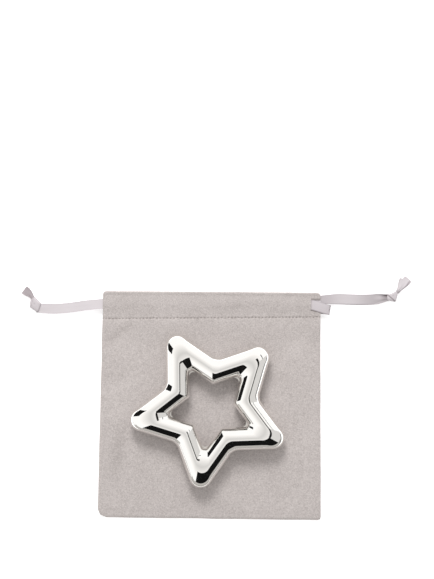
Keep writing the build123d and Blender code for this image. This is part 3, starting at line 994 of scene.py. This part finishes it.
line, length = smooth_line("left_run", left_run, RUN_SPACING)
outside = [index for index, place in enumerate(line) if place.x > LOOP_START]
first, last = outside[0], outside[-1]
for name, part in (("left_ribbon_upper_run", line[:first + 1]), ("left_ribbon_lower_run", line[last:])):
    finish_ribbon(strip(name, part, full_width), "left_ribbon", "left_ribbon_run")
# Painted shade on the slack loop, strongest along its lower edge.
left_loop = strip("left_ribbon_slack_loop", line[first:last + 1], full_width,
                  lean=lambda t: 0.5 * MM * ease(t, 0.25, 0.38) * (1 - ease(t, 0.62, 0.75)),
                  painted_sheen_and_shade=lambda t, v: 0.24 - 0.06 * v + 0.5 * ease(-v, 0.72, 1.0))
finish_ribbon(left_loop, "pouch", "left_ribbon_run")
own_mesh(left_loop)
print("left run in mm", round(length / MM, 1))

# %% [markdown]
# The right ribbon's turn stays out of sight at the left. Its run is squeezed at the mouth, where its free
# ends start as narrow as it is there.

# %% The right ribbon's run
right_run = route([
    (57.7, 55.2, 3.075), (50.0, 54.75, 3.075), (10.0, 55.3, 3.075), (-30.0, 54.2, 3.075),
    (-50.0, 53.2, 3.075), (-55.4, 53.0, 3.075), (-57.0, 53.0, 2.8), (-57.3, 53.0, 2.15),
    (-57.0, 53.0, 1.5), (-55.4, 53.0, 1.225), (-50.0, 53.2, 1.225), (-30.0, 54.2, 1.225),
    (10.0, 55.3, 1.225), (50.0, 54.75, 1.225), (57.7, 55.2, 1.225),
])


def squeezed_width(t):
    """Narrow at both ends of the run, where it meets the free ends."""
    return RIBBON_WIDTH * (MOUTH_SHARE + (1 - MOUTH_SHARE) * ease(min(t, 1 - t), 0.0, 0.15))


line, length = smooth_line("right_run", right_run, RUN_SPACING)
finish_ribbon(strip("right_ribbon_hairpin", line, squeezed_width), "right_ribbon", "right_ribbon_run")
print("right run in mm", round(length / MM, 1))

# %% [markdown]
# ## The knots
#
# An overhand knot in a flat ribbon shows one broad wrap, pulled tight round the two strands, with a crease
# across it where the ribbon changes direction. A sphere has the closed surface that a wrap needs. It is
# pressed flat, drawn out to the wrap's outline and stepped along the crease. The cut ends that leave it are
# two short strips that fan out.


# %% The knots
def reach_of(outline, middle, angle):
    """How far the outline is from its middle in one direction."""
    way = Vector((cos(angle), sin(angle)))
    for start, end in zip(outline, outline[1:] + outline[:1]):
        side = end - start
        across = way.x * side.y - way.y * side.x
        if abs(across) < 1e-12:
            continue
        gap = start - middle
        far = (gap.x * side.y - gap.y * side.x) / across
        share = (gap.x * way.y - gap.y * way.x) / across
        if far > 0 and -1e-6 <= share <= 1 + 1e-6:
            return far
    return 0.0


KNOT_THICK = 2.5 * MM


def knot(name, node, body, outline, fold):
    """A knot's wrap: a soft flat form of that outline. Its fold raises the cloth on one side of a line."""
    outline = [Vector(point) * MM for point in outline]
    middle = sum(outline, Vector((0, 0))) / len(outline)
    middle_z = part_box(node)[0].z + KNOT_THICK / 2
    (from_x, from_y), (to_x, to_y), lift = fold
    run = Vector((to_x - from_x, to_y - from_y)).normalized()
    bpy.ops.object.select_all(action="DESELECT")
    bpy.ops.mesh.primitive_uv_sphere_add(segments=96, ring_count=48, radius=1)
    wrap = bpy.context.object
    wrap.name = name
    darkness = wrap.data.attributes.new("painted_sheen_and_shade", "FLOAT", "POINT")
    for vertex in wrap.data.vertices:
        x, y, z = vertex.co
        angle = atan2(y, x)
        full = hypot(x, y)
        nearby = [reach_of(outline, middle, angle + radians(turn)) for turn in (-9, -4, 0, 4, 9)]
        reach = sum(nearby) / len(nearby)
        px = middle.x + cos(angle) * reach * full
        py = middle.y + sin(angle) * reach * full
        height = (1 - full ** 3.2) ** 0.5 if full < 1 else 0.0
        side = 0 if abs(z) < 1e-9 else copysign(1, z)
        pz = middle_z + KNOT_THICK / 2 * height * side
        # Painted shade on the wrap: all over, stronger towards its rim, and a painted shadow beside the
        # fold.
        dark = 0.17 + 0.45 * ease(full, 0.86, 1.0)
        if z > 0:
            beside = (px / MM - from_x) * run.y - (py / MM - from_y) * run.x
            pz += lift * MM * (ease(beside, -0.12, 0.12) - 0.5) * height
            shadow = min(1.0, lift / 0.5) * hump(-beside - 0.15, 0.45)
            dark = max(dark, shadow if beside < 0.1 else 0.2 * shadow)
        darkness.data[vertex.index].value = dark
        vertex.co = (px, py, pz)
    smooth(wrap, 35)
    wrap.data.materials.append(satin.material)
    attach(wrap, body)
    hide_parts(node)
    return wrap


# Outlines and folds in millimetres. A fold goes from a point to a point, and then comes its lift.
knots = {
    "left": knot(
        "left_knot_wrap", "left_knot", "left_ribbon",
        [(-88.6, 53.2), (-90.3, 48.4), (-94.7, 51.3), (-94.5, 54.4), (-93.4, 56.1), (-92.3, 57.2)],
        ((-94.2, 50.2), (-92.4, 57.0), 0.22)),
    "right": knot(
        "right_knot_wrap", "right_knot", "right_ribbon",
        [(92.4, 57.6), (96.2, 59.2), (97.8, 60.4), (98.3, 59.4), (97.0, 54.0), (92.4, 54.9)],
        ((92.6, 57.7), (96.9, 54.0), 0.6)),
}


# %% The cut ends
def tail(name, node, body, points, neck, end_width, curl, cut, roll=0.0, finish=satin):
    """A cut end: its neck where it leaves the knot, then opening to its end width, both in mm.

    curl lifts its two sides, cut slants its end, and roll turns it about its own line."""
    line = smooth_line(name, route(points), 0.3 * MM)[0]
    piece = strip(
        name, line,
        width=lambda t: neck * MM + (end_width - neck) * MM * ease(t, 0.1, 0.85),
        roll=lambda t: radians(roll) * ease(t, 0.0, 0.5),
        pleat=lambda t, v: (0.22 * (1 - ease(t, 0.2, 0.9)) * cos(4 * v) + curl * v * v * t) * MM,
        lean=lambda t: cut * MM * ease(t, 0.5, 1.0),
        # Painted shade where the cut end leaves the knot.
        painted_sheen_and_shade=lambda t, v: 0.6 * (1 - ease(t, 0.0, 0.3)),
    )
    finish_ribbon(piece, body, node)
    piece.data.materials[0] = finish.material
    return piece


tails = {
    "left": [
        tail("left_upper_cut_end", "left_upper_tail", "left_ribbon",
             [(-93.0, 55.8, 1.6), (-94.0, 57.6, 1.9), (-95.6, 59.2, 1.9), (-97.6, 60.5, 1.5)],
             2.2, 4.7, 0.25, 0.25, -14, satin_back),
        tail("left_lower_cut_end", "left_lower_tail", "left_ribbon",
             [(-93.0, 55.6, 0.9), (-94.0, 57.3, 0.8), (-95.5, 58.8, 0.7), (-97.2, 60.0, 0.6)],
             2.0, 4.2, 0.1, 0.25, 0, satin_back),
    ],
    "right": [
        tail("right_upper_cut_end", "right_upper_tail", "right_ribbon",
             [(97.7, 59.0, 1.9), (98.8, 60.9, 2.2), (100.2, 63.4, 2.1), (101.8, 66.1, 1.7)],
             1.8, 5.0, 0.3, -0.9, 6),
        tail("right_lower_cut_end", "right_lower_tail", "right_ribbon",
             [(97.8, 58.9, 1.1), (99.5, 61.0, 1.0), (101.6, 63.7, 0.8), (103.7, 66.3, 0.6)],
             1.8, 4.6, 0.15, 0.0),
    ],
}

for side in ("left", "right"):
    for strand, held in (("upper", [knots[side], *tails[side]]), ("lower", [])):
        ribbon, line, length = free_ends[f"{side}_ribbon_{strand}_end"]
print("knots", [piece.name for piece in knots.values()])

# %% [markdown]
# ## The star
#
# The star is a hollow ring, stamped as two shells and soldered together round the middle. A torus is the
# right start: it already has a hole and a round section. Its rings are moved out to the star's course one by
# one. Each ring joins a point of the outer outline to the point of the hole that faces the same way.

# %% The star's outline
shell_low, shell_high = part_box("star_upper_shell")
lower_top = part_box("star_lower_shell")[1].z
STAR_X = -0.2 * MM
STAR_Y = -1.0 * MM
STAR_TURN = 46.2  # degrees, from +X round to the first tip
TIP_CENTRE = 36.1 * MM
TIP_ROUND = 6.25 * MM
TIP_ANGLE = radians(27.7)  # between a tip's middle line and its flanks
TUBE_WIDTH = 12.25 * MM
TUBE_HEIGHT = 2 * (shell_high.z - shell_low.z)
VALLEY_ROUND = 6.05 * MM
HOLE_TIP_ROUND = 1.7 * MM
HOLE_VALLEY_ROUND = 1.6 * MM
SHELL = 0.6 * MM
FIFTH = pi / 5  # from a tip to the next valley
TIP_STEPS = 10
FLANK_STEPS = 7
VALLEY_STEPS = 8


def star_stations():
    """Pairs of an outer point and a hole point, from the middle of a tip to the middle of a valley."""
    valley = TIP_ANGLE + FIFTH
    outer_tip = TIP_CENTRE + TIP_ROUND / sin(TIP_ANGLE)
    outer_valley = outer_tip * tan(TIP_ANGLE) / (sin(FIFTH) + tan(TIP_ANGLE) * cos(FIFTH))
    hole_tip = outer_tip - TUBE_WIDTH / sin(TIP_ANGLE)
    hole_valley = outer_valley - TUBE_WIDTH / sin(valley)
    hole_tip_centre = hole_tip - HOLE_TIP_ROUND / sin(TIP_ANGLE)
    valley_centre = outer_valley + VALLEY_ROUND / sin(valley)
    hole_valley_centre = hole_valley + HOLE_VALLEY_ROUND / sin(valley)
    flank_faces = pi / 2 - TIP_ANGLE

    def on_arc(centre, along, radius, facing):
        x = centre * cos(along) + radius * cos(facing)
        y = centre * sin(along) + radius * sin(facing)
        return Vector((x, y))

    def round_tip(facing):
        outer = on_arc(TIP_CENTRE, 0, TIP_ROUND, facing)
        return outer, on_arc(hole_tip_centre, 0, HOLE_TIP_ROUND, facing)

    def round_valley(facing):
        outer = on_arc(valley_centre, FIFTH, -VALLEY_ROUND, facing)
        return outer, on_arc(hole_valley_centre, FIFTH, -HOLE_VALLEY_ROUND, facing)

    pairs = [round_tip(flank_faces * i / TIP_STEPS) for i in range(TIP_STEPS)]
    for i in range(FLANK_STEPS):
        ends = zip(round_tip(flank_faces), round_valley(flank_faces))
        pairs.append(tuple(start.lerp(end, i / FLANK_STEPS) for start, end in ends))
    for i in range(VALLEY_STEPS):
        pairs.append(round_valley(flank_faces + (FIFTH - flank_faces) * i / VALLEY_STEPS))
    return pairs + [round_valley(FIFTH)]


def whole_star():
    """All the rings, once round the star."""
    half = star_stations()

    def flipped(pair):
        return tuple(Vector((point.x, -point.y)) for point in pair)

    arm = [flipped(pair) for pair in reversed(half[1:])][1:] + half
    rings = []
    for k in range(5):
        angle = radians(STAR_TURN + 72 * k)
        c = cos(angle)
        s = sin(angle)
        for pair in arm:
            rings.append(tuple(Vector((p.x * c - p.y * s, p.x * s + p.y * c)) for p in pair))
    return rings


rings = whole_star()
print("rings round the star", len(rings))

# %% [markdown]
# The torus gets as many rings as the outline has, and its lower half is cut away with a bisect for the upper
# shell. The rim is then made as thick as the metal. The lower shell is the same, turned over.


# %% Shaping the two shells
SECTION = 64  # points round the tube


def star_shell(name, node, way, middle_z):
    """One shell. way is 1 for the upper one and -1 for the lower one."""
    bpy.ops.object.select_all(action="DESELECT")
    bpy.ops.mesh.primitive_torus_add(major_segments=len(rings), minor_segments=SECTION,
                                     major_radius=10, minor_radius=1)
    shell = bpy.context.object
    shell.name = name
    for index, vertex in enumerate(shell.data.vertices):
        outer, inner = rings[index // SECTION]
        angle = 2 * pi * (index % SECTION) / SECTION
        middle = (outer + inner) / 2
        flat = middle + (outer - middle) * cos(angle)
        vertex.co = (STAR_X + flat.x, STAR_Y + flat.y, middle_z + TUBE_HEIGHT / 2 * sin(angle))
    bpy.ops.object.mode_set(mode="EDIT")
    bpy.ops.mesh.select_all(action="SELECT")
    bpy.ops.mesh.normals_make_consistent(inside=False)
    bpy.ops.mesh.bisect(plane_co=(0, 0, middle_z), plane_no=(0, 0, way), clear_inner=True)
    bpy.ops.object.mode_set(mode="OBJECT")
    apply(shell, "SOLIDIFY", thickness=SHELL, offset=-1, use_even_offset=True)
    smooth(shell, 50)
    shell.data.materials.append(silver.material)
    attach(shell, "star")
    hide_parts(node)
    print(name, len(shell.data.polygons), "faces")


star_shell("star_upper_silver", "star_upper_shell", 1, shell_low.z)
star_shell("star_lower_silver", "star_lower_shell", -1, lower_top)

# %% The solder and the beads
for name, finish, slot in (
    ("star_outer_solder", solder, "silver"),
    ("star_hole_solder", solder, "silver"),
    ("star_bead_1", steel, "steel"),
    ("star_bead_2", steel, "steel"),
    ("star_bead_3", steel, "steel"),
):
    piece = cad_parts[name]
    piece.data.materials.clear()
    piece.data.materials.append(finish.material)
kept = [name for name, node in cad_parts.items() if not node.hide_render]
print("kept from the measured model", kept)
